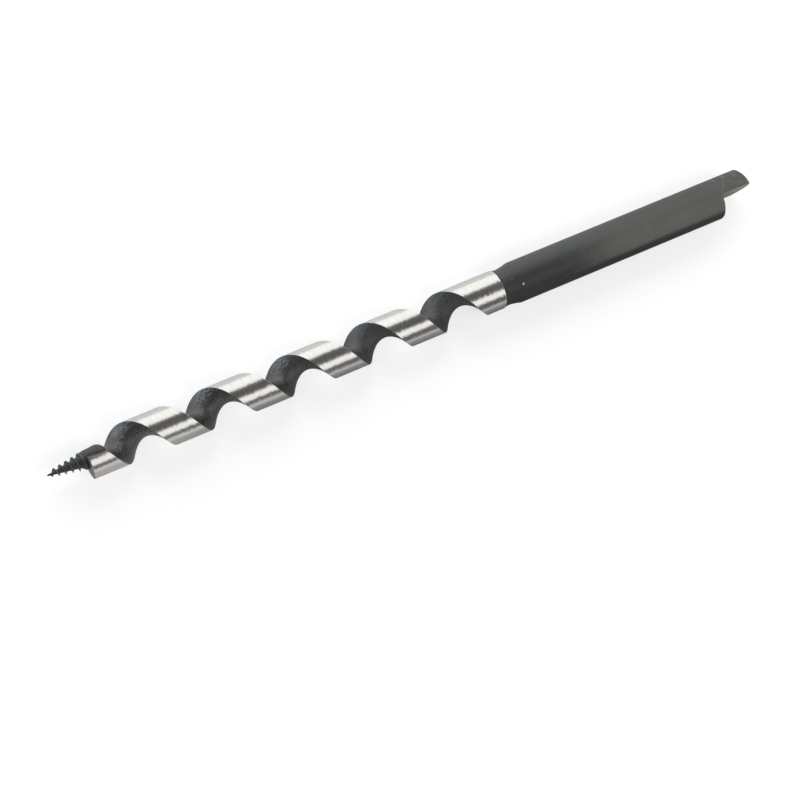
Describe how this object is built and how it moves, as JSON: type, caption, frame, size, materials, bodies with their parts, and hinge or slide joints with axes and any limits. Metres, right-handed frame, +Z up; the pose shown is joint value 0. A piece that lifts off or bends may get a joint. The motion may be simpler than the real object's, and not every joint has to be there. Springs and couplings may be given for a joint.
{
  "type": "auger bit",
  "caption": "Right-hand timber auger bit with a screw point, a half-round twisted body with ground lands, a waisted neck and a round shank with a half-moon drive tang.",
  "frame": {"origin": "on the axis, at the shoulder of the half-moon tang, the plane that stops against the key of the drive socket", "axes": "+X along the axis from the screw point to the drive tang, +Z up, the flat of the tang faces -Y and the flute face of the cutting head faces +Y"},
  "size_m": [0.3595, 0.019, 0.019],
  "materials": {
    "screw_steel": "dark blued steel, satin",
    "ground_steel": "ground bright on the lands, black in the flute",
    "black_steel": "black oxide, satin"
  },
  "bodies": {
    "root": {"lead_screw": "screw_steel", "cutting_head": "ground_steel", "twist_body": "ground_steel", "neck_weld": "black_steel", "drive_shank": "black_steel"}
  },
  "joints": []
}
